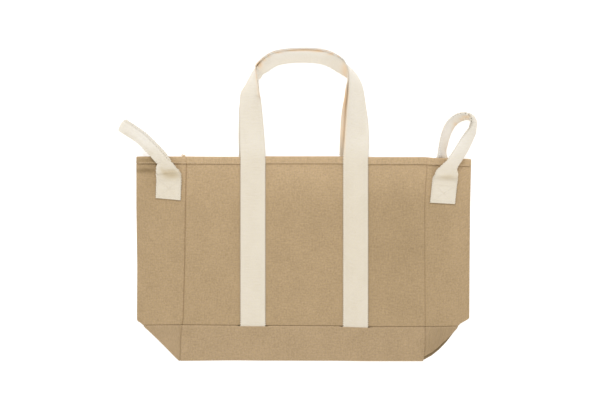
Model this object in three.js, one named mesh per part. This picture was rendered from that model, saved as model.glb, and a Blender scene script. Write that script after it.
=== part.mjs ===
// A market tote of cotton canvas, lying flat on its back as it is laid out for a picture.
// The end gussets are folded outwards in half and the base is folded up inside, so the bottom
// corners are cut off by slanting folds. Two long webbing handles rise from the base band, and a
// short handle of the same webbing, folded lengthwise, is sewn across each gusset.
// Millimetres. +X is the bag's right, +Y runs from the base to the mouth, +Z is up from the floor.
import * as THREE from "three";

// Driving dimensions
const CANVAS = 1.2; // one layer of canvas
const WEBBING = { width: 40, wall: 2 };
const CLEAR = 0.4; // kept between sewn pieces
const RIM = 325; // bottom fold to rim
const HEM = 12; // depth of the turned-out hem
const BAND_TOP = 56; // bottom fold to the upper edge of the base band
const RIDGE = 68; // how far up inside the base is folded
const TURN = 1; // radius of the bottom folds, to the middle of the cloth
const BAND_END = 53; // height on the slanting fold where the gusset's band stops
const HANDLE_X = 82.6; // middle of the bag to the middle of a handle's leg
const BACK_SHIFT = -4; // the back handle lies this much to the left of the front one
const MIDDLE = { x: -11.3, y: 249.7 }; // middle of the whole outline, which is put at the origin

// The flat outline, a row for each height: outer folds and sewn side seams.
const PLAN = [
  { y: 0, leftFold: -199.5, leftSeam: -199, rightSeam: 190.5, rightFold: 191 },
  { y: 6, leftFold: -209, leftSeam: -198.5, rightSeam: 191, rightFold: 203 },
  { y: 19, leftFold: -222.4, leftSeam: -197.3, rightSeam: 191.7, rightFold: 216 },
  { y: 32, leftFold: -235.2, leftSeam: -196, rightSeam: 192.3, rightFold: 227.2 },
  { y: 45, leftFold: -248, leftSeam: -195, rightSeam: 192.5, rightFold: 237 },
  { y: 57, leftFold: -259, leftSeam: -194.4, rightSeam: 192.5, rightFold: 248 },
  { y: 67, leftFold: -268, leftSeam: -193.8, rightSeam: 192.5, rightFold: 263 },
  { y: 150, leftFold: -267.5, leftSeam: -192.2, rightSeam: 192, rightFold: 263.5 },
  { y: RIM, leftFold: -268, leftSeam: -190, rightSeam: 193.6, rightFold: 266 },
];

// How high the front layer lies: along the middle of the bag and along its outer folds.
const FRONT = [
  { y: 0, middle: 6.4, edge: 6.4 },
  { y: 25, middle: 8.6, edge: 6.4 },
  { y: BAND_END, middle: 10.6, edge: 6.2 },
  { y: 67, middle: 11.6, edge: 5.2 },
  { y: 120, middle: 13.6, edge: 6.4 },
  { y: 220, middle: 14, edge: 6.6 },
  { y: 290, middle: 13, edge: 6.6 },
  { y: RIM, middle: 11.6, edge: 6.6 },
];
const CROWN = 0.28; // share of the middle's height that is lost between the middle and a seam

// Webbing under the bag lifts the back layer: middle, half size and height of each stretch.
const LIFTS = [
  { x: -HANDLE_X + BACK_SHIFT, y: 185, halfX: 22, halfY: 145, lift: 2.4 },
  { x: HANDLE_X + BACK_SHIFT, y: 185, halfX: 22, halfY: 145, lift: 2.4 },
  { x: -217, y: 282, halfX: 26, halfY: 36, lift: 2.6 },
  { x: -226, y: 318, halfX: 24, halfY: 27, lift: 6.4 },
  { x: 223, y: 278, halfX: 26, halfY: 38, lift: 2.6 },
  { x: 220.5, y: 318, halfX: 20, halfY: 22, lift: 8 },
];
const LIFT_RAMP = 18; // length over which the cloth comes down again
const LIFT_SHOWS = 0.55; // share of a lift that also raises the front layer

// The loop of a long handle above the rim, from the left leg to the right one. roll turns the
// webbing about its length, inner edge up; apart is the distance to the back handle beneath it.
const LOOP = [
  { x: -82.4, y: 337, z: 16, roll: 3, apart: 12.6 },
  { x: -82.9, y: 352, z: 15.8, roll: 10, apart: 9.6 },
  { x: -84.2, y: 381, z: 16, roll: 22, apart: 6 },
  { x: -85.3, y: 406, z: 17.2, roll: 33, apart: 5.4 },
  { x: -85, y: 422, z: 18.2, roll: 42, apart: 4 },
  { x: -82.4, y: 440, z: 20, roll: 58, apart: 4.2 },
  { x: -79.4, y: 456, z: 21.4, roll: 76, apart: 4.2 },
  { x: -74.7, y: 467, z: 21.6, roll: 93, apart: 4.2 },
  { x: -65.6, y: 477.6, z: 20.2, roll: 112, apart: 3.8 },
  { x: -52.8, y: 485, z: 19, roll: 120, apart: 3.2 },
  { x: -32, y: 488.3, z: 18.8, roll: 120, apart: 3.2 },
  { x: -6.4, y: 489, z: 18.8, roll: 120, apart: 3.2 },
  { x: 19.2, y: 488.3, z: 18.8, roll: 120, apart: 3.2 },
  { x: 40, y: 484.8, z: 18.8, roll: 121, apart: 3.2 },
  { x: 54.4, y: 478.4, z: 19.2, roll: 118, apart: 3.8 },
  { x: 64.8, y: 470.4, z: 20.8, roll: 104, apart: 4.2 },
  { x: 72.8, y: 460, z: 21.4, roll: 84, apart: 4.2 },
  { x: 78.4, y: 447, z: 20.4, roll: 66, apart: 4.2 },
  { x: 81.6, y: 430.4, z: 19, roll: 50, apart: 4.2 },
  { x: 83.5, y: 406.4, z: 17, roll: 34, apart: 4.2 },
  { x: 84.2, y: 376, z: 15.6, roll: 18, apart: 6.6 },
  { x: 84, y: 351, z: 15.6, roll: 7, apart: 9.8 },
  { x: 83.4, y: 337, z: 16, roll: 2, apart: 12.6 },
];
const LEG_STEP = 40; // length between the stations of a leg sewn to the bag

// The end handles, from the front tab to the back one. z is counted from the front cloth while
// on is "front", and otherwise from the floor; fold goes from 0, flat, to 1, doubled lengthwise.
const LEFT_END = [
  { x: -217.1, y: 256.8, z: 1.5, on: "front", roll: 0, fold: 0 },
  { x: -216.6, y: 276.8, z: 2.5, on: "front", roll: 0, fold: 0 },
  { x: -216.6, y: 292, z: 2.4, on: "front", roll: 0, fold: 0.04 },
  { x: -218.2, y: 304, z: 4, on: "front", roll: 0, fold: 0.4 },
  { x: -223.2, y: 315.6, z: 4, on: "front", roll: 0, fold: 0.9 },
  { x: -229, y: 323.2, z: 17.6, on: "floor", roll: 0, fold: 1 },
  { x: -237, y: 332.8, z: 17.8, on: "floor", roll: 0, fold: 1 },
  { x: -247.2, y: 343.7, z: 17.8, on: "floor", roll: 0, fold: 1 },
  { x: -259.8, y: 356, z: 17.8, on: "floor", roll: 0, fold: 1 },
  { x: -273.3, y: 365.4, z: 17.8, on: "floor", roll: 0, fold: 1 },
  { x: -284.8, y: 372.8, z: 17.6, on: "floor", roll: 0, fold: 1 },
  { x: -289.3, y: 375.7, z: 15.5, on: "floor", roll: 0, fold: 1 },
  { x: -291.1, y: 376.8, z: 10.2, on: "floor", roll: 0, fold: 1 },
  { x: -289.3, y: 375.7, z: 4.9, on: "floor", roll: 0, fold: 1 },
  { x: -284.8, y: 372.8, z: 2.8, on: "floor", roll: 0, fold: 1 },
  { x: -273.3, y: 365.4, z: 2.6, on: "floor", roll: 0, fold: 1 },
  { x: -259.8, y: 356, z: 2.6, on: "floor", roll: 0, fold: 1 },
  { x: -247.2, y: 343.7, z: 2.6, on: "floor", roll: 0, fold: 1 },
  { x: -237, y: 332.8, z: 2.6, on: "floor", roll: 0, fold: 1 },
  { x: -229, y: 323.2, z: 2.6, on: "floor", roll: 0, fold: 1 },
  { x: -223.2, y: 315.6, z: 2.6, on: "floor", roll: 0, fold: 0.9 },
  { x: -218.2, y: 306, z: 2.8, on: "floor", roll: 0, fold: 0.45 },
  { x: -216.8, y: 299, z: 3.3, on: "floor", roll: 0, fold: 0.2 },
  { x: -216.6, y: 292, z: 1.4, on: "floor", roll: 0, fold: 0.04 },
  { x: -216.6, y: 276.8, z: 1.1, on: "floor", roll: 0, fold: 0 },
  { x: -217.1, y: 256.8, z: 1.1, on: "floor", roll: 0, fold: 0 },
];
const RIGHT_END = [
  { x: 221.4, y: 250.7, z: 1.5, on: "front", roll: 0, fold: 0 },
  { x: 223.7, y: 273.6, z: 2, on: "front", roll: 0, fold: 0 },
  { x: 226.2, y: 294, z: 2, on: "front", roll: 0, fold: 0.04 },
  { x: 230.4, y: 306, z: 4.2, on: "front", roll: -4, fold: 0.4 },
  { x: 236.4, y: 318, z: 5, on: "front", roll: -12, fold: 0.9 },
  { x: 243.7, y: 330.4, z: 18.6, on: "floor", roll: -24, fold: 1 },
  { x: 252.8, y: 343.7, z: 16.4, on: "floor", roll: -36, fold: 1 },
  { x: 262.4, y: 357.9, z: 13.6, on: "floor", roll: -48, fold: 1 },
  { x: 268.5, y: 368.8, z: 12, on: "floor", roll: -62, fold: 1 },
  { x: 270.7, y: 379.2, z: 11.2, on: "floor", roll: -80, fold: 1 },
  { x: 267.2, y: 387.5, z: 10.9, on: "floor", roll: -98, fold: 1 },
  { x: 260.5, y: 391, z: 10.9, on: "floor", roll: -112, fold: 1 },
  { x: 252.8, y: 389.4, z: 10.5, on: "floor", roll: -124, fold: 1 },
  { x: 245.6, y: 385.9, z: 9.6, on: "floor", roll: -134, fold: 1 },
  { x: 238.4, y: 379.5, z: 8.8, on: "floor", roll: -142, fold: 1 },
  { x: 232, y: 370.2, z: 8.2, on: "floor", roll: -148, fold: 1 },
  { x: 227.2, y: 358.4, z: 8.2, on: "floor", roll: -148, fold: 1 },
  { x: 223.7, y: 344.8, z: 8, on: "floor", roll: -150, fold: 1 },
  { x: 221.1, y: 333, z: 5.6, on: "floor", roll: -164, fold: 1 },
  { x: 219.8, y: 321.6, z: 3.2, on: "floor", roll: -177, fold: 1 },
  { x: 220.5, y: 310, z: 2.8, on: "floor", roll: -180, fold: 0.5 },
  { x: 221.3, y: 303, z: 3.4, on: "floor", roll: -180, fold: 0.2 },
  { x: 222.1, y: 296, z: 1.4, on: "floor", roll: -180, fold: 0.04 },
  { x: 223.2, y: 275, z: 1.1, on: "floor", roll: -180, fold: 0 },
  { x: 224, y: 251.2, z: 1.1, on: "floor", roll: -180, fold: 0 },
];
const CREASE = 1.3; // radius of the lengthwise crease, to the middle of the webbing
const FLAP = 4; // least strip along the edge that the fold starts from

// A table's value at a height, straight between its rows
function between(table, y, column) {
  const last = table.length - 1;
  let row = 0;
  while (row < last - 1 && y > table[row + 1].y) row += 1;
  const share = (y - table[row].y) / (table[row + 1].y - table[row].y);
  return THREE.MathUtils.lerp(table[row][column], table[row + 1][column], THREE.MathUtils.clamp(share, 0, 1));
}

// Distance outside a stretch of webbing under the bag, turned into a share of its lift
function liftAt(x, y) {
  let lift = 0;
  for (const stretch of LIFTS) {
    const beyondX = Math.max(0, Math.abs(x - stretch.x) - stretch.halfX);
    const beyondY = Math.max(0, Math.abs(y - stretch.y) - stretch.halfY);
    const share = 1 - THREE.MathUtils.smoothstep(Math.hypot(beyondX, beyondY), 0, LIFT_RAMP);
    lift = Math.max(lift, stretch.lift * share);
  }
  return lift;
}

const inHem = (y) => y > RIM - HEM;

// Middle of the back layer and of the front layer of canvas; the hem is turned to the outside
function backZ(x, y) {
  return CANVAS / 2 + liftAt(x, y) + CANVAS * THREE.MathUtils.smoothstep(y, RIM - HEM - 20, RIM - HEM);
}

function frontZ(x, y) {
  const middle = between(FRONT, y, "middle");
  const edge = between(FRONT, y, "edge");
  const side = x < 0 ? "left" : "right";
  const seam = Math.abs(between(PLAN, y, side + "Seam"));
  const fold = Math.abs(between(PLAN, y, side + "Fold"));
  const inside = Math.min(1, Math.abs(x) / seam);
  const outside = THREE.MathUtils.clamp((Math.abs(x) - seam) / Math.max(1, fold - seam), 0, 1);
  const share = (1 - CROWN * inside * inside) * (1 - Math.pow(outside, 1.6));
  return edge + (middle - edge) * share + LIFT_SHOWS * liftAt(x, y);
}

// Upper face of the front, counting the hem's second layer
function frontTop(x, y) {
  const hem = CANVAS * THREE.MathUtils.smoothstep(y, RIM - HEM - 20, RIM - HEM);
  return frontZ(x, y) + CANVAS / 2 + hem;
}

// A closed wall of cloth along a grid of points on its middle; skins gives the distances of the
// inner and the outer face from the middle at each point of the grid.
function wallAlong(grid, skins) {
  const across = grid.length - 1;
  const along = grid[0].length - 1;
  const box = new THREE.BoxGeometry(1, 1, 1, across, along, 1);
  const position = box.attributes.position;
  const alongU = new THREE.Vector3();
  const alongV = new THREE.Vector3();
  for (let k = 0; k < position.count; k += 1) {
    const i = Math.round((position.getX(k) + 0.5) * across);
    const j = Math.round((position.getY(k) + 0.5) * along);
    const point = grid[i][j];
    alongU.subVectors(grid[Math.min(across, i + 1)][j], grid[Math.max(0, i - 1)][j]);
    alongV.subVectors(grid[i][Math.min(along, j + 1)], grid[i][Math.max(0, j - 1)]);
    const normal = alongU.cross(alongV).normalize();
    const [inner, outer] = skins(point);
    const moved = point.clone().addScaledVector(normal, position.getZ(k) > 0 ? outer : inner);
    position.setXYZ(k, moved.x, moved.y, moved.z);
  }
  box.computeVertexNormals();
  return box;
}

const canvasSkins = (point) => [-CANVAS / 2, inHem(point.y) ? CANVAS * 1.5 : CANVAS / 2];
const bandSkins = () => [-CANVAS / 2, CANVAS / 2];
const webbingSkins = () => [-WEBBING.wall / 2, WEBBING.wall / 2];

// Evenly spaced shares from 0 to 1
const shares = (count) => Array.from({ length: count + 1 }, (_, k) => k / count);

// Heights of the rows of a panel, with a close pair at the step of the hem
const panelRows = (low) => [
  ...shares(11).map((share) => THREE.MathUtils.lerp(low, RIM - HEM - 0.3, share)),
  RIM - HEM + 0.3,
  RIM,
];

// Front or back panel between its two seams
function panel(columns, heightAt) {
  return wallAlong(
    columns.map((share) =>
      panelRows(BAND_TOP + CLEAR).map((y) => {
        const left = between(PLAN, y, "leftSeam") + CLEAR / 2;
        const right = between(PLAN, y, "rightSeam") - CLEAR / 2;
        const x = THREE.MathUtils.lerp(left, right, share);
        return new THREE.Vector3(x, y, heightAt(x, y));
      }),
    ),
    canvasSkins,
  );
}

// Shares of the back panel's width where the straps beneath it start to lift it
function backColumns() {
  const left = between(PLAN, RIM / 2, "leftSeam");
  const right = between(PLAN, RIM / 2, "rightSeam");
  const stops = [left, -150];
  for (const strap of LIFTS.slice(0, 2)) {
    const reach = strap.halfX + LIFT_RAMP;
    stops.push(strap.x - reach, strap.x - strap.halfX, strap.x, strap.x + strap.halfX, strap.x + reach);
  }
  stops.push(150, right);
  return stops.sort((a, b) => a - b).map((x) => (x - left) / (right - left)).reverse();
}

// Half circle from the first point to the second, bulging along outward
function halfTurn(from, to, outward, steps) {
  const middle = from.clone().lerp(to, 0.5);
  const radius = from.distanceTo(to) / 2;
  const arm = from.clone().sub(middle);
  return shares(steps).map((share) =>
    middle
      .clone()
      .addScaledVector(arm, Math.cos(Math.PI * share))
      .addScaledVector(outward, radius * Math.sin(Math.PI * share)),
  );
}

// One end panel, folded outwards in half; side is -1 on the left and 1 on the right
function gusset(side) {
  const name = side < 0 ? "left" : "right";
  const seamAt = (y) => between(PLAN, y, name + "Seam") + (side * CLEAR) / 2;
  const foldAt = (y) => between(PLAN, y, name + "Fold");
  const half = (y) => (frontZ(foldAt(y), y) - backZ(foldAt(y), y)) / 2;
  const shares5 = shares(6);
  const section = (row) => {
    const sheet = (share, heightAt) => {
      const y = row(share);
      const x = THREE.MathUtils.lerp(seamAt(y), foldAt(y) - side * half(y), share);
      return new THREE.Vector3(x, y, heightAt(x, y));
    };
    const front = shares5.map((share) => sheet(share, frontZ));
    const back = shares5.map((share) => sheet(share, backZ)).reverse();
    const turn = halfTurn(front[6], back[0], new THREE.Vector3(side, 0, 0), 6).slice(1, -1);
    const path = [...front, ...turn, ...back];
    return side > 0 ? path : path.reverse();
  };
  // Lower edge: the band's seam, then up along the slanting fold
  const lowest = (share) => {
    const x = Math.abs(THREE.MathUtils.lerp(seamAt(60), foldAt(67), share));
    const slant = PLAN.map((row) => ({ y: Math.abs(row[name + "Fold"]), height: row.y })).slice(0, 7);
    return Math.max(BAND_TOP + CLEAR, between(slant, x, "height") + 1);
  };
  const rowShares = panelRows(0).map((y) => y / RIM);
  const rows = rowShares.map((share) =>
    section((across) => (share > 0.95 ? share * RIM : THREE.MathUtils.lerp(lowest(across), RIM, share))),
  );
  return wallAlong(rows[0].map((_, i) => rows.map((row) => row[i])), canvasSkins);
}

// The folded base seen along the bag: down the back, up inside to the ridge, down again and up
// the front. column gives x for a height, low is where the bottom folds lie.
function baseSection(column, low, top) {
  const at = (y, z) => new THREE.Vector3(column(y), y, z);
  const turnY = low + TURN;
  const inside = frontZ(column(turnY), turnY) - backZ(column(turnY), turnY) - 4 * TURN;
  const under = (y) => backZ(column(y), y) + 2 * TURN;
  const ridgeY = RIDGE - inside / 2;
  const outerRows = shares(3).map((share) => THREE.MathUtils.lerp(turnY, top, share));
  const innerRows = shares(2).map((share) => THREE.MathUtils.lerp(turnY, ridgeY, share));
  const down = new THREE.Vector3(0, -1, 0);
  const back = outerRows.map((y) => at(y, backZ(column(y), y))).reverse();
  const innerBack = innerRows.map((y) => at(y, under(y)));
  const innerFront = innerRows.map((y) => at(y, under(y) + inside)).reverse();
  const front = outerRows.map((y) => at(y, frontZ(column(y), y)));
  return [
    ...back,
    ...halfTurn(back[3], innerBack[0], down, 5).slice(1, -1),
    ...innerBack,
    ...halfTurn(innerBack[2], innerFront[0], new THREE.Vector3(0, 1, 0), 5).slice(1, -1),
    ...innerFront,
    ...halfTurn(innerFront[2], front[0], down, 5).slice(1, -1),
    ...front,
  ];
}

// Base, with its bands up the front and the back
function baseBand() {
  const columns = backColumns().reverse().map((share) => (y) => {
    const left = between(PLAN, y, "leftSeam") + CLEAR / 2;
    const right = between(PLAN, y, "rightSeam") - CLEAR / 2;
    return THREE.MathUtils.lerp(left, right, share);
  });
  return wallAlong(columns.map((column) => baseSection(column, 0, BAND_TOP)), bandSkins);
}

// Lower end of a gusset, folded in with the base along the slanting corner
function gussetBand(side) {
  const name = side < 0 ? "left" : "right";
  const seamAt = (y) => between(PLAN, y, name + "Seam") + (side * CLEAR) / 2;
  const foldAt = (y) => between(PLAN, y, name + "Fold");
  const end = foldAt(BAND_END);
  const columns = shares(5).map((share) => {
    const column = (y) => THREE.MathUtils.lerp(seamAt(y), end, share);
    // The height where this column meets the slanting fold, by halving
    let low = 0;
    let high = BAND_END;
    for (let k = 0; k < 24; k += 1) {
      const y = (low + high) / 2;
      if (side * column(y) > side * foldAt(y)) low = y;
      else high = y;
    }
    return baseSection(column, low, BAND_TOP);
  });
  return wallAlong(side < 0 ? columns.reverse() : columns, bandSkins);
}

// Webbing along a row of stations; each keeps its width level, is turned by its roll, and then
// moved back by its drop. sectionAt gives the points across the webbing as { across, out }.
function ribbon(stations, steps, sectionAt) {
  const curve = new THREE.CatmullRomCurve3(stations.map((s) => new THREE.Vector3(s.x, s.y, s.z)));
  const count = (stations.length - 1) * steps;
  const up = new THREE.Vector3(0, 0, 1);
  const lines = [];
  let before = null;
  for (let k = 0; k <= count; k += 1) {
    const at = Math.min(stations.length - 2, Math.floor(k / steps));
    const share = k / steps - at;
    const mix = (column) => THREE.MathUtils.lerp(stations[at][column], stations[at + 1][column], share);
    const along = curve.getTangent(k / count);
    const level = along.clone().cross(up);
    if (before && level.length() < 0.2) level.copy(before);
    if (before && level.dot(before) < 0) level.negate();
    level.addScaledVector(along, -level.dot(along)).normalize();
    before = level.clone();
    const width = level.clone().applyAxisAngle(along, -THREE.MathUtils.degToRad(mix("roll")));
    const out = width.clone().cross(along);
    const base = curve.getPoint(k / count).addScaledVector(out, -mix("drop"));
    lines.push(
      sectionAt(mix("fold")).map((p) => base.clone().addScaledVector(width, p.across).addScaledVector(out, p.out)),
    );
  }
  return wallAlong(lines[0].map((_, i) => lines.map((line) => line[i])), webbingSkins);
}

const flatSection = () => [-0.5, 0, 0.5].map((share) => ({ across: share * WEBBING.width, out: 0 }));

// Webbing whose edge is turned under along a crease; side tells which edge, -1 for the left one
function doubledSection(fold, side) {
  const bend = Math.PI * THREE.MathUtils.smoothstep(fold, 0, 0.35);
  const flap = THREE.MathUtils.lerp(FLAP, WEBBING.width / 2, THREE.MathUtils.smoothstep(fold, 0.25, 1));
  const arc = Math.PI * CREASE;
  const from = flap - arc / 2;
  const to = flap + arc / 2;
  const stops = [0, from / 2, from, flap - arc / 4, flap, flap + arc / 4, to, (to + WEBBING.width) / 2, WEBBING.width];
  const points = stops.map((stop) => {
    const turned = THREE.MathUtils.clamp((to - stop) / arc, 0, 1) * bend;
    const radius = bend > 0.001 ? arc / bend : 0;
    const straight = Math.max(0, stop - to);
    const beyond = Math.max(0, from - stop);
    const arcAcross = radius ? radius * Math.sin(turned) : Math.min(arc, Math.max(0, to - stop));
    const arcDown = radius ? radius * (1 - Math.cos(turned)) : 0;
    return {
      across: to + straight - arcAcross - beyond * Math.cos(bend),
      out: -arcDown - beyond * Math.sin(bend),
    };
  });
  const middle = (column) => {
    const values = points.map((p) => p[column]);
    return (Math.min(...values) + Math.max(...values)) / 2;
  };
  const offset = { across: middle("across"), out: middle("out") };
  const centred = points.map((p) => ({ across: side * -(p.across - offset.across), out: p.out - offset.out }));
  return side < 0 ? centred : centred.reverse();
}

// Stations of a long handle: up the left leg, round the loop, down the right leg
function handleStations(isBack) {
  const shift = (y) => (isBack ? BACK_SHIFT * (1 - THREE.MathUtils.smoothstep(y, 385, 425)) : 0);
  const drop = LOOP[0].z - WEBBING.wall / 2;
  const leg = (x) => {
    const rows = Math.round((RIM - BAND_TOP) / LEG_STEP);
    return shares(rows).map((share) => {
      const y = THREE.MathUtils.lerp(BAND_TOP + 1, RIM, share);
      const z = isBack ? LOOP[0].z : frontTop(x, y) + WEBBING.wall / 2 + CLEAR + 0.2;
      return { x: x + shift(y), y, z, roll: 0, fold: 0, drop: isBack ? drop : 0 };
    });
  };
  const loop = LOOP.map((row) => ({ ...row, x: row.x + shift(row.y), fold: 0, drop: isBack ? row.apart : 0 }));
  return [...leg(-HANDLE_X), ...loop, ...leg(HANDLE_X).reverse()];
}

// Stations of an end handle, its front tab counted from the cloth it is sewn to
function endStations(table) {
  return table.map((row) => {
    if (row.on !== "front") return { ...row, drop: 0 };
    const rise = frontTop(row.x + 15, row.y) - frontTop(row.x - 15, row.y);
    const slope = THREE.MathUtils.radToDeg(Math.atan2(rise, 30));
    return { ...row, z: row.z + frontTop(row.x, row.y), roll: row.roll + slope, drop: 0 };
  });
}

const CANVAS_COLOUR = 0xb79d78;
const BAND_COLOUR = 0xb59c7a;
const WEBBING_COLOUR = 0xebe2d0;

const PIECES = [
  { name: "front_panel", colour: CANVAS_COLOUR, build: () => panel(shares(12), frontZ) },
  { name: "back_panel", colour: CANVAS_COLOUR, build: () => panel(backColumns(), backZ) },
  { name: "left_gusset", colour: CANVAS_COLOUR, build: () => gusset(-1) },
  { name: "right_gusset", colour: CANVAS_COLOUR, build: () => gusset(1) },
  { name: "base_band", colour: BAND_COLOUR, build: () => baseBand() },
  { name: "left_gusset_band", colour: BAND_COLOUR, build: () => gussetBand(-1) },
  { name: "right_gusset_band", colour: BAND_COLOUR, build: () => gussetBand(1) },
  { name: "front_handle", colour: WEBBING_COLOUR, build: () => ribbon(handleStations(false), 2, flatSection) },
  { name: "back_handle", colour: WEBBING_COLOUR, build: () => ribbon(handleStations(true), 2, flatSection) },
  {
    name: "left_side_handle",
    colour: WEBBING_COLOUR,
    build: () => ribbon(endStations(LEFT_END), 2, (fold) => doubledSection(fold, -1)),
  },
  {
    name: "right_side_handle",
    colour: WEBBING_COLOUR,
    build: () => ribbon(endStations(RIGHT_END), 2, (fold) => doubledSection(fold, 1)),
  },
];

const tote = new THREE.Group();
tote.name = "market_tote";
tote.position.set(-MIDDLE.x, -MIDDLE.y, 0);
for (const piece of PIECES) {
  const material = new THREE.MeshStandardMaterial({ color: piece.colour, roughness: 0.9 });
  const mesh = new THREE.Mesh(piece.build(), material);
  mesh.name = piece.name;
  tote.add(mesh);
}

export default tote;
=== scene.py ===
"""Market tote of undyed canvas and cream cotton webbing, lying flat on its back."""
import math
from bisect import bisect
from collections import namedtuple
from functools import partial

import bmesh
import bpy
from mathutils import Matrix, Vector, noise


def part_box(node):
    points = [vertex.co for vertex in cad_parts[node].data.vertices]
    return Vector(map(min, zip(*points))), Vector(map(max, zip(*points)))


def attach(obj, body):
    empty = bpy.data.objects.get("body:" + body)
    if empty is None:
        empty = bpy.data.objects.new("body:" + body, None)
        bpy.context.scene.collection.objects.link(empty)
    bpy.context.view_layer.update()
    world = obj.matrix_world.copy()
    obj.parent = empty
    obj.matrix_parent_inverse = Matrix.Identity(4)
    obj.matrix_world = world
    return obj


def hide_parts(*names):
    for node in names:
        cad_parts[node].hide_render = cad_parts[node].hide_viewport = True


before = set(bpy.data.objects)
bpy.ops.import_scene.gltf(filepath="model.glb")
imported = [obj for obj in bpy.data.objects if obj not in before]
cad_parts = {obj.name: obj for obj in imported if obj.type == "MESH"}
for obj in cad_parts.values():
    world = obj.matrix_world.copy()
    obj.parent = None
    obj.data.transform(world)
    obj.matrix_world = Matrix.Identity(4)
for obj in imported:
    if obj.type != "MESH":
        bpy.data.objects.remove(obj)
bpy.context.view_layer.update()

# Bag coordinates are in millimetres: x to the bag's right, y up from the bottom fold, z up from
# the floor. in_frame() turns them into the frame's metres. A name that ends in SPAN holds the two
# places between which something comes in gradually.
MM = 0.001

# Cloth, webbing and thread
CANVAS = 1.2
WEBBING_WIDTH = 40.0
WEBBING_WALL = 2.0
WEBBING_CROWN = 0.25
STITCH = 3.4
STITCH_REACH = 0.2

# Rim and hem
RIM = 323.6
HEM = 10.4
HEM_EDGE = RIM - HEM
HEM_LAYER = 1.5
HEM_SPREAD = 20.0
HEM_ROOM = 0.8
HEM_PUFF = 0.35
HEM_PUFF_SPAN = (HEM - 4, HEM - 1.5)
HEM_TUCK = 0.5
HEM_TUCK_SPAN = (HEM - 0.9, HEM)
HEM_FOLD_SPAN = (HEM_EDGE - 0.6, HEM_EDGE + 1.2)
HEM_SEWN = HEM_EDGE + 1.9

# Seams: how deep cloth turns down into one, how near it, and the shares that single seams take of it
SEAM_GAP = 0.4
SEAM_DIP = 1.6
SEAM_ROUND = 1.8
RIGHT_SEAM = 0.55
BACK_SEAM = 0.45
BAND_SEAM = 0.5
BASE_SEAM = 0.6
SLANT_SEAM = 1.6
SLANT_GAP = 0.3

# The base band, its turned edge and its inner fold
BAND_TOP = 56.0
PANEL_FOOT = BAND_TOP + SEAM_GAP / 2
BAND_PROUD = 0.7
BAND_PROUD_SPAN = (BAND_TOP - 14, BAND_TOP - 7)
BAND_ROUND = 1.2
BAND_DROP = 0.8
STRAP_BUMP = 1.4
STRAP_BUMP_SPAN = (BAND_TOP - 22, BAND_TOP - 8)
STRAP_RAMP = 7.0
STRAP_PULL = 0.8
BASE_LEFT = -199.0
RIDGE = 68.0
TURN = 1.0
BASE_INSET = 0.6

# The slanting corners: the front layer's fold lies this far above the back one's, where there is room
BAND_END = 55.0
LEFT_INSET = 0.6
RIGHT_INSET = 5.6
INSET_SHARE = 0.2
INSET_TOP = BAND_TOP - 4

# End panels: half a width, and the shares of the cloth that lie flat in it and turn round the fold
GUSSET_HALF = 75.0
GUSSET_FLAT = 0.45
GUSSET_TURN = 0.1

# Legs of the long handles, and where the back ones lie from the front ones
LEFT_LEG = -81.7
RIGHT_LEG = 82.5
BACK_LEFT = -2.5
BACK_RIGHT = -5.2
LEG_TUCK = 5.0
LEG_UNDER = -0.2
LEG_CLEAR = 0.15
LEG_RISE_SPAN = (BAND_TOP - 3, BAND_TOP + 9)
BACK_LEG_FOOT = BAND_TOP + 0.5
LEG_ROWS = [BAND_TOP + 3, BAND_TOP + 8, BAND_TOP + 14]
LEG_EVEN_FROM = BAND_TOP + 24
TAB_HALF = 15.0

# Mesh: places close to a sewn edge, where the even ones begin, steps in millimetres and counts
EDGE_PLACES = [0.0, 0.5, 1.0, 1.5, 2.1, 2.8, 3.8]
EVEN_FROM = 5.5
FOOT_EDGE_PLACES = EDGE_PLACES[:-1]
FOOT_EVEN_FROM = 4.0
HEM_ROWS_BESIDE = [-2.2, -1.2, -0.4, 0.6]
HEM_ROWS_DOWN = [0, 1.5, 4, 6.5, HEM - 2.4, HEM - 1.4, HEM - 0.6, HEM]
FRONT_STEPS = (3.2, 3.0)
BACK_STEPS = (4.5, 5.0)
GUSSET_STEPS = (2.4, 2.2)
BASE_STEPS = (3.4, 5.0, 3.0)
STRAP_STEP = 0.55
HEM_TURNS = 6
GUSSET_TURNS = 12
BASE_TURNS = 8
INNER_ROWS = 10
FOOT_COLUMNS = 20
LEG_COUNT = 12
LENGTH_STEPS = 20
HALVINGS = 24
STEP_U = 0.004
STEP_Y = 0.4


def table(kind, rows):
    """Rows of bare numbers, with the names of their columns."""
    return [kind(*row) for row in rows]


# The flat outline at each height: outer folds and sewn side seams
Plan = namedtuple("Plan", "y left_fold left_seam right_seam right_fold")
PLAN = table(Plan, [
    (0, -200.4, -199.0, 190.8, 188.0),
    (6, -206.9, -198.5, 192.7, 198.2),
    (9, -209.9, -198.4, 193.0, 204.2),
    (19, -220.0, -198.2, 193.8, 216.2),
    (32, -233.3, -197.8, 194.4, 228.4),
    (45, -246.5, -196.6, 194.2, 238.4),
    (57, -258.4, -195.0, 194.0, 247.8),
    (60, -261.6, -194.5, 194.2, 250.6),
    (63.2, -267.3, -194.0, 194.2, 256.6),
    (67.6, -267.4, -193.4, 194.2, 264.6),
    (150, -266.9, -191.0, 193.4, 265.0),
    (245, -268.3, -189.6, 193.2, 265.8),
    (RIM, -268.3, -188.2, 197.2, 267.6),
])
SLANT_ROWS = 10
SLANT_TOP = PLAN[SLANT_ROWS - 1].y
SIDES = {-1: "left", 1: "right"}

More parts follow.
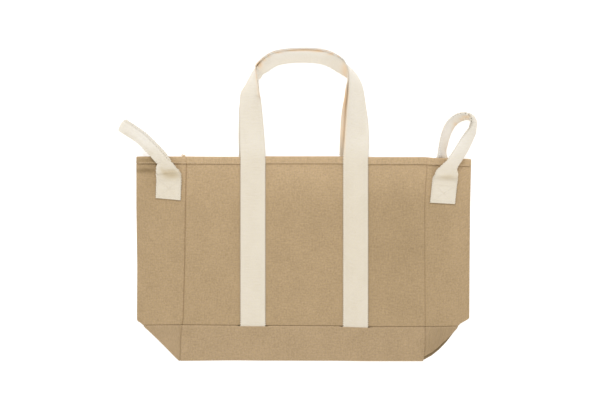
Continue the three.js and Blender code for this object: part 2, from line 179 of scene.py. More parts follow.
# How far the cloth has settled downwards along the bag: at its bottom fold, its foot and its rim
Sag = namedtuple("Sag", "x base foot rim")
SAGS = table(Sag, [
    (-270, 1.2, 1.0, -1.0),
    (-200, 1.4, 0.0, -0.9),
    (-110, 0.7, 0.6, -0.4),
    (-60, 1.1, 1.0, -1.2),
    (40, 1.3, 1.4, -1.2),
    (110, 2.0, 3.0, 0.0),
    (190, 2.0, 3.1, 0.0),
    (212, 1.9, 3.0, 1.6),
    (270, 1.2, 1.8, 3.0),
])
FOOT_SAG_SPAN = (0, 40)
FOOT_END_SPAN = (80, 200)
RIM_SAG_SPAN = (240, 310)
RIM_END_SPAN = (335, 365)

# How high the front layer lies, along the bag's middle and along its outer folds
Height = namedtuple("Height", "y middle edge")
FRONT = table(Height, [
    (0, 6.4, 6.4),
    (25, 8.6, 6.4),
    (BAND_END, 10.6, 6.2),
    (67.6, 11.6, 5.2),
    (120, 13.6, 6.4),
    (220, 14.0, 6.6),
    (290, 13.0, 6.6),
    (RIM, 11.6, 6.6),
])
CROWN = 0.28
FOLD_POWER = 1.6

# Webbing under the bag that lifts the back layer
Lift = namedtuple("Lift", "x y half_x half_y rise")
LIFTS = table(Lift, [
    (LEFT_LEG + BACK_LEFT, 185, 22, 145, 2.4),
    (RIGHT_LEG + BACK_RIGHT, 185, 22, 145, 2.4),
    (-217, 282, 26, 36, 2.6),
    (-226, 318, 24, 27, 6.4),
    (223, 278, 26, 38, 2.6),
    (220.5, 318, 20, 22, 8.0),
])
LIFT_RAMP = 18.0
LIFT_SHOWS = 0.55

# Shallow dents of the front: half size along and across the dent, its turn in degrees, its depth
Dent = namedtuple("Dent", "x y along across turn depth")
DENTS = table(Dent, [
    (-250, 303, 20, 4, 2, 2.0),
    (-198, 292, 5, 12, 10, 0.7),
    (208, 240, 16, 5, -8, 0.9),
    (232, 236, 14, 6, 10, 0.5),
    (-120, 120, 60, 22, 70, 0.4),
    (20, 210, 80, 30, 20, 0.4),
    (140, 90, 50, 18, -55, 0.4),
])
DENT_SPAN = (0, 60)
WAVE_DEPTH = 0.35
WAVE_ACROSS = 0.011
WAVE_ALONG = 0.013
WAVE_SEED = 4.0

# Painted light and shade on the cloth: soft patches where it is paler or darker
Fade = namedtuple("Fade", "x y half_x half_y change")
LIGHT_SHADE_PATCHES = table(Fade, [
    (150, 190, 55, 140, -0.08),
    (-150, 225, 40, 70, 0.03),
    (-142, 296, 36, 20, -0.07),
    (254, 210, 22, 90, 0.04),
    (-250, 225, 25, 45, 0.04),
    (-248, 290, 24, 40, -0.16),
    (-250, 318.5, 26, 7, -0.38),
    (-256, 302.5, 24, 4.4, -0.42),
    (-225, 30, 26, 30, 0.06),
    (-187, 43, 7, 9, -0.06),
    (-198, 28, 1.6, 24, -0.16),
    (222, 28, 24, 30, -0.1),
    (212, 14, 14, 12, -0.03),
    (199, 16, 10, 24, -0.07),
])
# Painted light and shade on the straps: soft patches where they are paler or darker
STRAP_LIGHT_SHADE_PATCHES = {
    "front_strap": table(Fade, [
        (82, 190, 25, 130, -0.025),
        (-85, 385, 26, 50, -0.03),
        (-5, 490, 110, 34, 0.17),
    ]),
    "back_strap": table(Fade, [
        (0, 490, 90, 14, 0.02),
        (-56, 474, 16, 16, 0.03),
        (-40, 489.5, 16, 4, 0.05),
        (-18, 493.4, 18, 3.4, 0.05),
        (8, 493.8, 18, 3.4, 0.05),
        (32, 490.6, 16, 4, 0.05),
        (65, 390, 5, 70, 0.12),
        (-70, 473, 6, 6, 0.1),
    ]),
    "left_end_strap": table(Fade, [
        (-211.5, 295, 14, 6, -0.22),
        (-212.5, 301.5, 10, 3.5, -0.12),
        (-227.5, 305, 3, 3.4, -0.08),
        (-224.5, 301.5, 3, 3.4, -0.1),
        (-221, 298, 3.4, 3, -0.1),
        (-262, 350, 36, 34, 0.06),
        (-283, 361, 6, 5, -0.06),
        (-273, 354.5, 6, 5, -0.06),
        (-262.5, 346.5, 6, 5, -0.06),
        (-253, 338.5, 5, 5, -0.06),
        (-245, 330.5, 5, 5, -0.06),
    ]),
    "right_end_strap": table(Fade, [
        (229, 294.5, 13, 4, -0.13),
        (224, 268, 18, 18, 0.03),
        (225, 360, 30, 40, 0.12),
        (220, 331, 11, 8, 0.12),
    ]),
}

# Painted brown shade in the straps' gaps and creases, for shadow and the light they throw on each other
STRAP_BROWN_SHADE = {
    "front_strap": table(Fade, [
        (-74.5, 466, 2.6, 5, 0.75),
        (-69.6, 474.6, 3.2, 4, 0.75),
        (-64.2, 481, 3.4, 3, 0.6),
        (-56, 487.6, 4.4, 1.7, 0.5),
        (-46, 491.8, 7, 1.3, 0.5),
        (-32, 494.4, 8, 1.2, 0.5),
        (-16, 495.7, 9, 1.2, 0.5),
        (2, 496.3, 10, 1.2, 0.5),
        (20, 495.4, 9, 1.2, 0.5),
        (34, 493.3, 7, 1.3, 0.5),
        (45, 489.8, 5, 1.6, 0.5),
        (54, 484.6, 4, 1.8, 0.6),
        (64.4, 355, 1.8, 26, 0.5),
        (66.4, 393, 1.8, 26, 0.5),
        (69.4, 430, 1.8, 24, 0.5),
        (-71.8, 437, 2.2, 14, 0.45),
        (-74.4, 455, 2.2, 10, 0.5),
        (-75, 473.4, 3, 3.6, 0.6),
    ]),
    "back_strap": table(Fade, [
        (66.5, 466, 6, 15, 0.5),
        (59, 365, 5, 42, 0.4),
        (63, 420, 4.5, 26, 0.5),
        (-106.5, 370, 2.2, 60, 0.3),
        (66.8, 412, 3.2, 34, 0.5),
        (64.2, 360, 3.2, 36, 0.5),
        (-69, 428, 2.4, 14, 0.5),
        (-71.5, 472.5, 5, 6, 0.8),
        (-64.5, 480, 3.4, 2.6, 0.6),
        (-58.3, 485.4, 5, 1.8, 0.55),
        (-43.5, 491.6, 9, 1.5, 0.7),
        (-22.6, 494.8, 14, 1.4, 0.85),
        (4, 495.2, 16, 1.4, 0.85),
        (27.7, 493.6, 14, 1.5, 0.85),
        (45.4, 489, 8, 1.7, 0.7),
    ]),
    "left_end_strap": [],
    "right_end_strap": table(Fade, [
        (257, 390, 5, 1.8, 0.55),
        (252, 386.4, 4, 1.5, 0.5),
        (263, 389, 2.4, 3, 0.45),
        (242, 378, 3, 3, 0.5),
        (238, 371, 2.4, 4, 0.3),
        (248, 383, 12, 8, 0.12),
        (224, 350, 10, 34, 0.14),
    ]),
}
# Colour of the painted brown shade
BROWN_SHADE_COLOUR = (0.88, 0.6, 0.32, 1)

# Painted highlight on the band's turned edge, paler line on the rim, painted shadow under the hem
Line = namedtuple("Line", "y half change")
HIGHLIGHT_AND_SHADOW_LINES = table(Line, [
    (BAND_TOP - 1.4, 0.9, 0.08),
    (RIM, 1.6, 0.08),
    (HEM_EDGE - 0.3, 1.0, -0.12),
])
# The cloth is paler towards the rim and on its hem
RIM_PALER = 0.17
RIM_PALER_SPAN = (235, 312)
HEM_PALER = 0.06
HEM_PALER_SPAN = (312, 314)
# Painted light on the straps where they stand clear of the bag
LOOP_LIGHT = 0.06
LOOP_LIGHT_SPAN = (310, 350)

# Painted shade on the folded feet's inner layers, told by their height above the floor and depth under the
# front
INSIDE_SHADE = 0.3
INSIDE_HEIGHT_SPAN = (1.0, 1.6)
INSIDE_DEPTH_SPAN = (0.8, 1.6)

# How fast red, green and blue follow the cloth's tone and its painted light and shade
CANVAS_POWERS = (1.0, 1.05, 1.25)
WEBBING_POWERS = (1.0, 1.35, 2.1)

# The loops of the long handles above the rim, from left to right; lag is how far the strap's edges
# slip past each other along it
Loop = namedtuple("Loop", "x y z roll lag", defaults=[0])
FRONT_LOOP = table(Loop, [
    (-82.2, 337, 15.8, 3),
    (-82.8, 352, 14.8, 8),
    (-84.2, 381, 15, 18),
    (-85.3, 406, 16.6, 27),
    (-85.7, 424, 18, 38),
    (-84, 431, 19, 48),
    (-82.3, 440, 20, 59),
    (-80.1, 453, 21.2, 72),
    (-78.6, 463, 21.6, 83),
    (-75, 469.9, 21.8, 94),
    (-66.5, 474.8, 21.6, 104),
    (-56.4, 480.4, 21.5, 111),
    (-44.2, 485.4, 21.5, 113.5),
    (-24, 488.7, 21.5, 114),
    (3, 489.9, 21.5, 114),
    (26, 488.2, 21.5, 114),
    (42, 484.2, 21.5, 112),
    (53.2, 481.8, 21.6, 102),
    (61.8, 479, 21.8, 93),
    (66.8, 473.4, 21.6, 87),
    (71.4, 468, 21.6, 83),
    (74.8, 461.5, 21.4, 77),
    (78.9, 450, 20.6, 65),
    (81.8, 437, 19.6, 55),
    (82.9, 424, 18.2, 48),
    (83.7, 400, 16.2, 36),
    (84.3, 376, 14.4, 20),
    (84, 351, 14.8, 7),
    (83.4, 337, 15.8, 2),
])
BACK_LOOP = table(Loop, [
    (-84.4, 337, 3.6, 3),
    (-85, 352, 7, 8),
    (-85.7, 381, 11, 20),
    (-86, 406, 13, 30),
    (-82.9, 424, 15, 43),
    (-78.2, 439, 19.4, 66, 0.5),
    (-72.6, 451.4, 20.8, 94, 1),
    (-71.1, 461.5, 20.6, 105, 1),
    (-62.9, 469.5, 19.8, 114, 1),
    (-53.2, 477, 19.2, 117.5, 0.5),
    (-41, 482.2, 19, 117),
    (-22, 485.1, 19, 116),
    (4, 485.7, 19, 115.6),
    (26, 484, 19, 116.6),
    (41, 479.9, 19, 118),
    (56.4, 471.4, 19.4, 118, -2),
    (67, 462.2, 20.6, 106, -4),
    (72.4, 450.4, 20.8, 83, -3),
    (74.7, 438.6, 19.2, 66, -1),
    (76, 420.7, 17, 54),
    (76, 404.5, 14.6, 42),
    (76.2, 385, 12, 30),
    (76.7, 365, 9.4, 20),
    (77.2, 337, 3.4, 4),
])

# The end handles from the front tab to the back one; z is counted from the front cloth or the floor
End = namedtuple("End", "x y z on roll fold lag puff", defaults=[0, 1.2])
LEFT_END = table(End, [
    (-217.1, 257.4, 1.5, "front", 0, 0, -1.1),
    (-216.5, 276.5, 1.8, "front", 0, 0, -0.8),
    (-216, 284, 2.1, "front", 0, 0, -0.6),
    (-216, 291.5, 3.1, "front", 0, 0.02, -0.8),
    (-216.4, 298.5, 4.6, "front", 0, 0.12, -2.4),
    (-218.2, 305.6, 6.8, "front", 0, 0.45, -6.5),
    (-220, 310.8, 8, "front", 0, 0.68, -9.5),
    (-224.2, 317.2, 7.4, "front", 0, 0.93, -10),
    (-229, 323.6, 21, "floor", 0, 1, -5.5),
    (-235, 330.6, 19.8, "floor", 0, 1, -1.5),
    (-247.2, 343.2, 18.2, "floor", 0, 1),
    (-259.8, 356, 17.8, "floor", 0, 1),
    (-273.3, 365.4, 17.8, "floor", 0, 1),
    (-284.8, 372.8, 17.6, "floor", 0, 1),
    (-289.3, 375.7, 15.5, "floor", 0, 1),
    (-291.1, 376.8, 10.2, "floor", 0, 1),
    (-289.3, 375.7, 4.9, "floor", 0, 1),
    (-284.8, 372.8, 3.2, "floor", 0, 1),
    (-273.3, 365.4, 3.2, "floor", 0, 1),
    (-259.8, 356, 3.2, "floor", 0, 1),
    (-247.2, 343.7, 3.2, "floor", 0, 1),
    (-237, 332.8, 3.2, "floor", 0, 1),
    (-229, 323.2, 3.2, "floor", 0, 1),
    (-223.2, 315.6, 3.2, "floor", 0, 0.9),
    (-218.2, 306, 3.2, "floor", 0, 0.45),
    (-216.8, 299, 3.3, "floor", 0, 0.2),
    (-216.6, 292, 1.4, "floor", 0, 0.04),
    (-216.6, 276.8, 1.1, "floor", 0, 0),
    (-217.1, 256.8, 1.1, "floor", 0, 0),
])
RIGHT_END = table(End, [
    (221.4, 250.9, 1.5, "front", 0, 0, 0.9),
    (223.7, 273.6, 2, "front", 0, 0),
    (225, 287, 1.9, "front", 0, 0.02, 1),
    (226, 294.6, 3.6, "front", 0, 0.14, 2),
    (227.7, 301.6, 6, "front", -1, 0.34, 3),
    (231.1, 309.5, 7.2, "front", -2, 0.7, 5),
    (235.7, 315.8, 7.2, "front", -3, 0.88, 4.5),
    (240.6, 323.2, 20.4, "floor", -6, 1, 4.5),
    (245.8, 331, 19.6, "floor", -9, 1, 2.5),
    (253.2, 342.4, 17.6, "floor", -15, 1),
    (262.4, 356.2, 14.8, "floor", -30, 1),
    (270.2, 368.2, 12.8, "floor", -48, 1, 0, 2.6),
    (272.4, 378.6, 11.8, "floor", -69, 1, 0, 5.4),
    (268.4, 387.8, 11.2, "floor", -92, 1, 0, 5.6),
    (260.5, 391.6, 10.9, "floor", -112, 1, 0, 4.4),
    (252.2, 390.6, 10.7, "floor", -124, 1, 0, 3.2),
    (244, 386.8, 10.4, "floor", -130, 1, 0, 2.2),
    (236.6, 380.2, 10.2, "floor", -134, 1),
    (230.6, 371, 10.2, "floor", -136, 1),
    (226.2, 359.8, 10.2, "floor", -133, 1),
    (222.8, 347, 10, "floor", -129, 1),
    (220.6, 336, 9.2, "floor", -127, 1),
    (220.4, 328, 7.2, "floor", -138, 1),
    (219.8, 320.5, 3.6, "floor", -174, 1),
    (220.5, 310, 3.2, "floor", -180, 0.5),
    (221.3, 303, 3.4, "floor", -180, 0.2),
    (222.1, 296, 1.4, "floor", -180, 0.04),
    (223.2, 275, 1.1, "floor", -180, 0),
    (224, 251.2, 1.1, "floor", -180, 0),
])

# Webbing lying open, as shares of half its width, and its picot edges
FLAT_PLACES = (1, 0.965, 0.88, 0.8, 0.72, 0.64, 0.54, 0.4, 0)
PICOT = 0.9
PICOT_PITCH = 3.6
PICOT_PHASES = (0, 2)
THIN_EDGE = 0.5
FULL_EDGE = 1.0
FULL_EDGE_SPAN = (RIM + 90, RIM + 140)

# Webbing doubled lengthwise: its crease, its turned flap and the puckers of a tight bend
CREASE = 1.3
FLAP = 4.0
LEFT_FLAP = 21.8
RIGHT_FLAP = 20.0
BEND_SPAN = (0, 0.35)
FLAP_SPAN = (0.25, 1)
PINCH = 0.6
PUCKER = 0.35
PUCKER_PITCH = 6.0
PUCKER_SLANT = 0.12
PUCKER_SPAN = (2, 4)
FLAP_STEPS = 6
CREASE_STEPS = 8
FACE_STEPS = 9
NO_BEND = 0.001

# Beads of thread: length, width and height
HEM_BEAD = (3.0, 0.8, 0.6)
STRAP_BEAD = (2.6, 0.8, 0.3)
FRAY_BEAD = (4.4, 1.2, 1.0)

# Shares of a panel's width that the hem's stitches run along
PANEL_RUN = (0.005, 0.995)
GUSSET_RUNS = [(0.01, 0.44), (0.56, 0.99)]

# Sewn boxes: inset from the strap's edges, heights on the front legs, end on the tabs
BOX_INSET = 3.5
BOX_LOW = 262.0
BOX_HIGH = 301.0
TAB_BOX_END = 30.0

# Thread ends that stick out above the rim at the left seam
Fray = namedtuple("Fray", "x rise lean")
FRAYED = table(Fray, [
    (-195.2, 2.6, -0.8),
    (-194.4, 4.0, -0.5),
    (-193.6, 2.8, -0.2),
    (-192.6, 2.6, 0.2),
    (-191.4, 2.9, 0.4),
    (-190.6, 2.1, 0.9),
])
FRAY_DEPTH = 0.9

# Where the bag's own origin lies in the frame, in millimetres
BASE_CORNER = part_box("base_band")[0] / MM
BAG_X = BASE_CORNER.x - BASE_LEFT - SEAM_GAP / 2
BAG_Y = BASE_CORNER.y + CANVAS / 2


# Small helpers for numbers


def lerp(a, b, share):
    return a + (b - a) * share


def clamped(share):
    return min(1.0, max(0.0, share))


def smoothstep(low, high, value):
    share = clamped((value - low) / (high - low))
    return share * share * (3 - 2 * share)


def hermite(b, c, leave, arrive, share):
    """From b to c, along a curve that leaves and arrives with these slopes."""
    square, cube = share**2, share**3
    start = b * (2 * cube - 3 * square + 1) + leave * (cube - 2 * square + share)
    return start + c * (3 * square - 2 * cube) + arrive * (cube - square)


def row_before(rows, value, column="y"):
    """Index of the row that starts the stretch of a table that holds a value."""
    row = 0
    while row < len(rows) - 2 and value > getattr(rows[row + 1], column):
        row += 1
    return row


def between(rows, y, column):
    """A table's value at a height, straight between its rows."""
    row = row_before(rows, y)
    low, high = rows[row], rows[row + 1]
    share = clamped((y - low.y) / (high.y - low.y))
    return lerp(getattr(low, column), getattr(high, column), share)


def eased(rows, y, column):
    """A table's value at a height, along a smooth curve through its rows."""
    row = row_before(rows, y)
    low, high = rows[row], rows[row + 1]
    before, after = rows[max(0, row - 1)], rows[min(len(rows) - 1, row + 2)]
    span = high.y - low.y
    a, b = getattr(low, column), getattr(high, column)
    leave = (b - getattr(before, column)) / (high.y - before.y) * span
    arrive = (getattr(after, column) - a) / (after.y - low.y) * span
    return hermite(a, b, leave, arrive, clamped((y - low.y) / span))


def shares(count):
    return [k / count for k in range(count + 1)]


def spaced(start, end, step):
    """Places from start to end, close together near both ends, where cloth turns into a seam."""
    span = end - start
    even = span - 2 * EVEN_FROM
    count = max(1, round(even / step))
    middle = [EVEN_FROM + even * k / count for k in range(count + 1)]
    places = EDGE_PLACES + middle + [span - place for place in reversed(EDGE_PLACES)]
    return [start + place for place in places]


def panel_rows(step):
    """Heights of a panel's rows, with close ones along the hem's lower edge."""
    beside_hem = [HEM_EDGE + place for place in HEM_ROWS_BESIDE]
    return sorted(spaced(PANEL_FOOT, RIM, step) + beside_hem)


def bump(value, middle, half):
    return math.exp(-(((value - middle) / half) ** 2))


def sag(x, y):
    """How far the cloth has settled towards its foot, at a place of the straight pattern."""
    at = row_before(SAGS, x, "x")
    low, high = SAGS[at], SAGS[at + 1]
    share = smoothstep(low.x, high.x, x)
    base, foot, rim = (lerp(a, b, share) for a, b in zip(low[1:], high[1:]))
    lower = lerp(base, foot, smoothstep(*FOOT_SAG_SPAN, y)) * (1 - smoothstep(*FOOT_END_SPAN, y))
    return lower + rim * smoothstep(*RIM_SAG_SPAN, y) * (1 - smoothstep(*RIM_END_SPAN, y))


def in_frame(point):
    """A point of the bag, settled, in the frame's metres."""
    return Vector((point.x + BAG_X, point.y - sag(point.x, point.y) + BAG_Y, point.z)) * MM


# The two layers of the lying bag


def seam_x(side, y):
    return between(PLAN, y, SIDES[side] + "_seam")


def fold_x(side, y):
    return between(PLAN, y, SIDES[side] + "_fold")


def lift(x, y):
    """How far webbing underneath raises the back layer."""
    most = 0.0
    for strip in LIFTS:
        beyond_x = max(0.0, abs(x - strip.x) - strip.half_x)
        beyond_y = max(0.0, abs(y - strip.y) - strip.half_y)
        share = 1 - smoothstep(0, LIFT_RAMP, math.hypot(beyond_x, beyond_y))
        most = max(most, strip.rise * share)
    return most


def hem_share(y):
    """How much of the hem's second layer is felt at a height, from 0 to 1."""
    return smoothstep(HEM_EDGE - HEM_SPREAD, HEM_EDGE, y)


def back_z(x, y):
    return CANVAS / 2 + lift(x, y) + (HEM_LAYER + HEM_ROOM) * hem_share(y)


def dents(x, y):
    """Depth of the front's soft dents, with a slow waviness of the cloth."""
    depth = WAVE_DEPTH * noise.noise(Vector((x * WAVE_ACROSS, y * WAVE_ALONG, WAVE_SEED)))
    for dent in DENTS:
        turn = math.radians(dent.turn)
        along = (x - dent.x) * math.cos(turn) + (y - dent.y) * math.sin(turn)
        across = (y - dent.y) * math.cos(turn) - (x - dent.x) * math.sin(turn)
        depth += dent.depth * math.exp(-((along / dent.along) ** 2) - (across / dent.across) ** 2)
    return depth


def front_z(x, y):
    middle = eased(FRONT, y, "middle")
    edge = eased(FRONT, y, "edge")
    side = -1 if x < 0 else 1
    seam, fold = abs(seam_x(side, y)), abs(fold_x(side, y))
    inside = min(1.0, abs(x) / seam)
    outside = clamped((abs(x) - seam) / max(1.0, fold - seam))
    share = (1 - CROWN * inside**2) * (1 - outside**FOLD_POWER)
    soft = share * smoothstep(*DENT_SPAN, y)
    return edge + (middle - edge) * share + LIFT_SHOWS * lift(x, y) - soft * dents(x, y)


def front_top(x, y):
    """Upper face of the front, counting the hem's second layer."""
    return front_z(x, y) + CANVAS / 2 + HEM_LAYER * hem_share(y)


# Tone of the cloth and the straps, with painted light and shade


def patches(patch_table, point):
    """What a table of soft patches of painted light and shade changes at a place."""
    change = 0.0
    for patch in patch_table:
        near = bump(point.x, patch.x, patch.half_x) * bump(point.y, patch.y, patch.half_y)
        change += patch.change * near
    return change


def tone_and_painted_shading(point):
    """Share of its colour that the cloth keeps: paler towards the rim and on the hem, with painted highlight
    and shadow lines and patches of painted light and shade.
    """
    paler = RIM_PALER * smoothstep(*RIM_PALER_SPAN, point.y)
    paler += HEM_PALER * smoothstep(*HEM_PALER_SPAN, point.y)
    painted_lines = sum(line.change * bump(point.y, line.y, line.half) for line in HIGHLIGHT_AND_SHADOW_LINES)
    return 1 + paler + painted_lines + patches(LIGHT_SHADE_PATCHES, point)


def foot_painted_shade(point):
    """The same for a folded foot, with painted shade on its inner layers."""
    depth = front_z(point.x, point.y) - point.z
    inside = smoothstep(*INSIDE_HEIGHT_SPAN, point.z) * smoothstep(*INSIDE_DEPTH_SPAN, depth)
    return tone_and_painted_shading(point) - INSIDE_SHADE * inside


def webbing_painted_shading(name, point):
    """The same for a strap, with painted light where it stands clear of the bag and patches of painted light
    and shade.
    """
    return 1 + LOOP_LIGHT * smoothstep(*LOOP_LIGHT_SPAN, point.y) + patches(STRAP_LIGHT_SHADE_PATCHES[name], point)


def webbing_brown_shade(name, point):
    """Share of painted brown shade in a strap's colour."""
    return min(1.0, patches(STRAP_BROWN_SHADE[name], point))


# Cloth

Cloth = namedtuple("Cloth", "wall material slot")


def placed(name, bm, material, slot):
    """A finished mesh as a piece of the bag."""
    for face in bm.faces:
        face.smooth = True
    mesh = bpy.data.meshes.new(name)
    bm.to_mesh(mesh)
    bm.free()
    mesh.materials.append(material)
    piece = bpy.data.objects.new(name, mesh)
    bpy.context.collection.objects.link(piece)
    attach(piece, "root")
    return piece


def drape(name, node, grid, cloth, taper=None, shade_at=tone_and_painted_shading, brown_shade_at=None):
    """A piece of cloth through columns of points, in bag coordinates; it stands for a CAD node."""
    columns, rows = len(grid) - 1, len(grid[0]) - 1
    bm = bmesh.new()
    cloth_uv = bm.loops.layers.uv.new("cloth")
    thin = bm.verts.layers.deform.verify()
    # The cloth's tone with its painted light and shade, and a strap's painted brown shade, on each vertex
    tone_and_shading = bm.verts.layers.float.new("tone_and_shading")
    brown_shade = bm.verts.layers.float.new("brown_shade") if brown_shade_at else None
    bmesh.ops.create_grid(bm, x_segments=columns, y_segments=rows, size=0.5)
    across = [[0.0] * (rows + 1)]
    for column, following in zip(grid, grid[1:]):
        across.append([done + (b - a).length for done, a, b in zip(across[-1], column, following)])
    along = []
    for column in grid:
        lengths = [0.0]
        for a, b in zip(column, column[1:]):
            lengths.append(lengths[-1] + (b - a).length)
        along.append(lengths)
    cell = {v: (round((v.co.x + 0.5) * columns), round((v.co.y + 0.5) * rows)) for v in bm.verts}
    for vert, (i, j) in cell.items():
        vert.co = in_frame(grid[i][j])
        vert[thin][0] = taper[i][j] if taper else 1.0
        vert[tone_and_shading] = shade_at(grid[i][j])
        if brown_shade_at:
            vert[brown_shade] = brown_shade_at(grid[i][j])
    for face in bm.faces:
        for loop in face.loops:
            i, j = cell[loop.vert]
            loop[cloth_uv].uv = (across[i][j] * MM, along[i][j] * MM)
    piece = placed(name, bm, cloth.material, cloth.slot)
    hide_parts(node)
    piece.vertex_groups.new(name="thickness")
    solid = piece.modifiers.new("wall", "SOLIDIFY")
    solid.thickness = cloth.wall * MM
    solid.offset = 0
    solid.vertex_group = "thickness"
    return piece


def seam_dip(distance):
    """How far cloth turns in, at this distance from a sewn seam."""
    return SEAM_DIP * (1 - smoothstep(0, SEAM_ROUND, distance))


def facing(surface, u, y):
    """Outward direction of a surface(u, y) whose u and y run anticlockwise seen from outside."""
    step_u = surface(min(1.0, u + STEP_U), y) - surface(max(0.0, u - STEP_U), y)
    step_y = surface(u, y + STEP_Y) - surface(u, y - STEP_Y)
    return step_u.cross(step_y).normalized()


def half_turn(start, end, outward, steps):
    """Points between two layers, round a fold that bulges outward."""
    middle = (start + end) / 2
    arm = start - middle
    reach = outward * arm.length
    angles = [math.pi * share for share in shares(steps)[1:-1]]
    return [middle + arm * math.cos(angle) + reach * math.sin(angle) for angle in angles]


def hemmed(surface, places, heights):
    """Columns of a panel up to its rim, over the rim and down the outside of its hem."""
    grid = []
    for u in places:
        column = [surface(u, y) for y in heights(u)]
        rim = surface(u, RIM)
        outside = rim + facing(surface, u, RIM) * HEM_LAYER
        column += half_turn(rim, outside, Vector((0, 1, 0)), HEM_TURNS)
        for below in HEM_ROWS_DOWN:
            y = RIM - below
            edge = HEM_PUFF * smoothstep(*HEM_PUFF_SPAN, below) - HEM_TUCK * smoothstep(*HEM_TUCK_SPAN, below)
            column.append(surface(u, y) + facing(surface, u, y) * (HEM_LAYER + edge))
        grid.append(column)
    return grid


def panel_x(share, y):
    left = seam_x(-1, y) + SEAM_GAP / 2
    right = seam_x(1, y) - SEAM_GAP / 2
    return lerp(left, right, share), left, right


def front_surface(share, y):
    x, left, right = panel_x(share, y)
    dip = seam_dip(x - left) + RIGHT_SEAM * seam_dip(right - x) + BAND_SEAM * seam_dip(y - PANEL_FOOT)
    return Vector((x, y, front_z(x, y) - dip))


def back_surface(share, y):
    x, left, right = panel_x(1 - share, y)
    dip = seam_dip(x - left) + seam_dip(right - x) + seam_dip(y - PANEL_FOOT)
    return Vector((x, y, back_z(x, y) + BACK_SEAM * dip))


def panel(surface, steps):
    """Grid of a panel between the side seams, with these mesh steps across and along it."""
    width = PLAN[-1].right_seam - PLAN[-1].left_seam
    places = [place / width for place in spaced(0, width, steps[0])]
    rows = panel_rows(steps[1])
    return hemmed(surface, places, lambda u: rows)


def gusset_surface(side):
    """Surface of an end panel folded outwards; u runs round it, anticlockwise seen from outside."""
    front_seam = 1.0 if side < 0 else RIGHT_SEAM

    def surface(u, y):
        around = 1 - u if side < 0 else u
        seam = seam_x(side, y) + side * SEAM_GAP / 2
        fold = fold_x(side, max(y, SLANT_TOP))
        low = back_z(fold, y)
        radius = (front_z(fold, y) - low) / 2
        inner = fold - side * (radius + HEM_LAYER * smoothstep(*HEM_FOLD_SPAN, y))
        if around < GUSSET_FLAT:
            x = lerp(seam, inner, around / GUSSET_FLAT)
            return Vector((x, y, front_z(x, y) - front_seam * seam_dip(abs(x - seam))))
        if around > GUSSET_FLAT + GUSSET_TURN:
            x = lerp(seam, inner, (1 - around) / GUSSET_FLAT)
            return Vector((x, y, back_z(x, y) + BACK_SEAM * seam_dip(abs(x - seam))))
        angle = math.pi * (around - GUSSET_FLAT) / GUSSET_TURN
        x = inner + side * radius * math.sin(angle)
        return Vector((x, y, low + radius + radius * math.cos(angle)))

    return surface


def slant_height(side, x):
    """Height of the slanting corner fold at a distance from the bag's middle."""
    fold = SIDES[side] + "_fold"
    rows = PLAN[:SLANT_ROWS]
    for low, high in zip(rows, rows[1:]):
        a, b = abs(getattr(low, fold)), abs(getattr(high, fold))
        if abs(x) <= b:
            return lerp(low.y, high.y, max(0.0, (abs(x) - a) / (b - a)))
    return rows[-1].y


def gusset(side):
    """Grid of an end panel; its lower edge follows the band's seam, then the slanting fold."""
    surface = gusset_surface(side)
    step_across, step_along = GUSSET_STEPS
    near = [place / GUSSET_HALF * GUSSET_FLAT for place in spaced(0, GUSSET_HALF, step_across)]
    round_fold = [GUSSET_FLAT + GUSSET_TURN * share for share in shares(GUSSET_TURNS)[1:-1]]
    places = near + round_fold + [1 - u for u in reversed(near)]
    rows = panel_rows(step_along)

    def lowest(u):
        return max(PANEL_FOOT, slant_height(side, surface(u, SLANT_TOP).x) + SLANT_GAP)

    def pinched(u, y):
        point = surface(u, y)
        low = lowest(u)
        closed = seam_dip(y - low) * (SLANT_SEAM if low > BAND_TOP + 1 else BACK_SEAM)
        middle = (front_z(point.x, y) + back_z(point.x, y)) / 2
        room = abs(point.z - middle)
        point.z -= math.copysign(min(room, closed), point.z - middle)
        return point

    def heights(u):
        stretch = (RIM - lowest(u)) / (RIM - rows[0])
        return [RIM - (RIM - y) * stretch for y in rows]

    return hemmed(pinched, places, heights)


def over_strap(x):
    """1 where the foot of a long handle lies under the band, 0 beside it."""
    beside = min(abs(x - LEFT_LEG), abs(x - RIGHT_LEG)) - WEBBING_WIDTH / 2
    return 1 - smoothstep(0, STRAP_RAMP, beside)


def band_rise(x, y):
    """How far the band stands proud: its upper edge is turned under and rounds off at the top,
    and the ends of the long handles lie beneath it."""
    proud = BAND_PROUD * smoothstep(*BAND_PROUD_SPAN, y)
    proud += STRAP_BUMP * over_strap(x) * smoothstep(*STRAP_BUMP_SPAN, y)
    over = max(0.0, (y - BAND_TOP + BAND_ROUND) / BAND_ROUND)
    return proud - BAND_DROP * (1 - math.sqrt(max(0.0, 1 - over**2)))


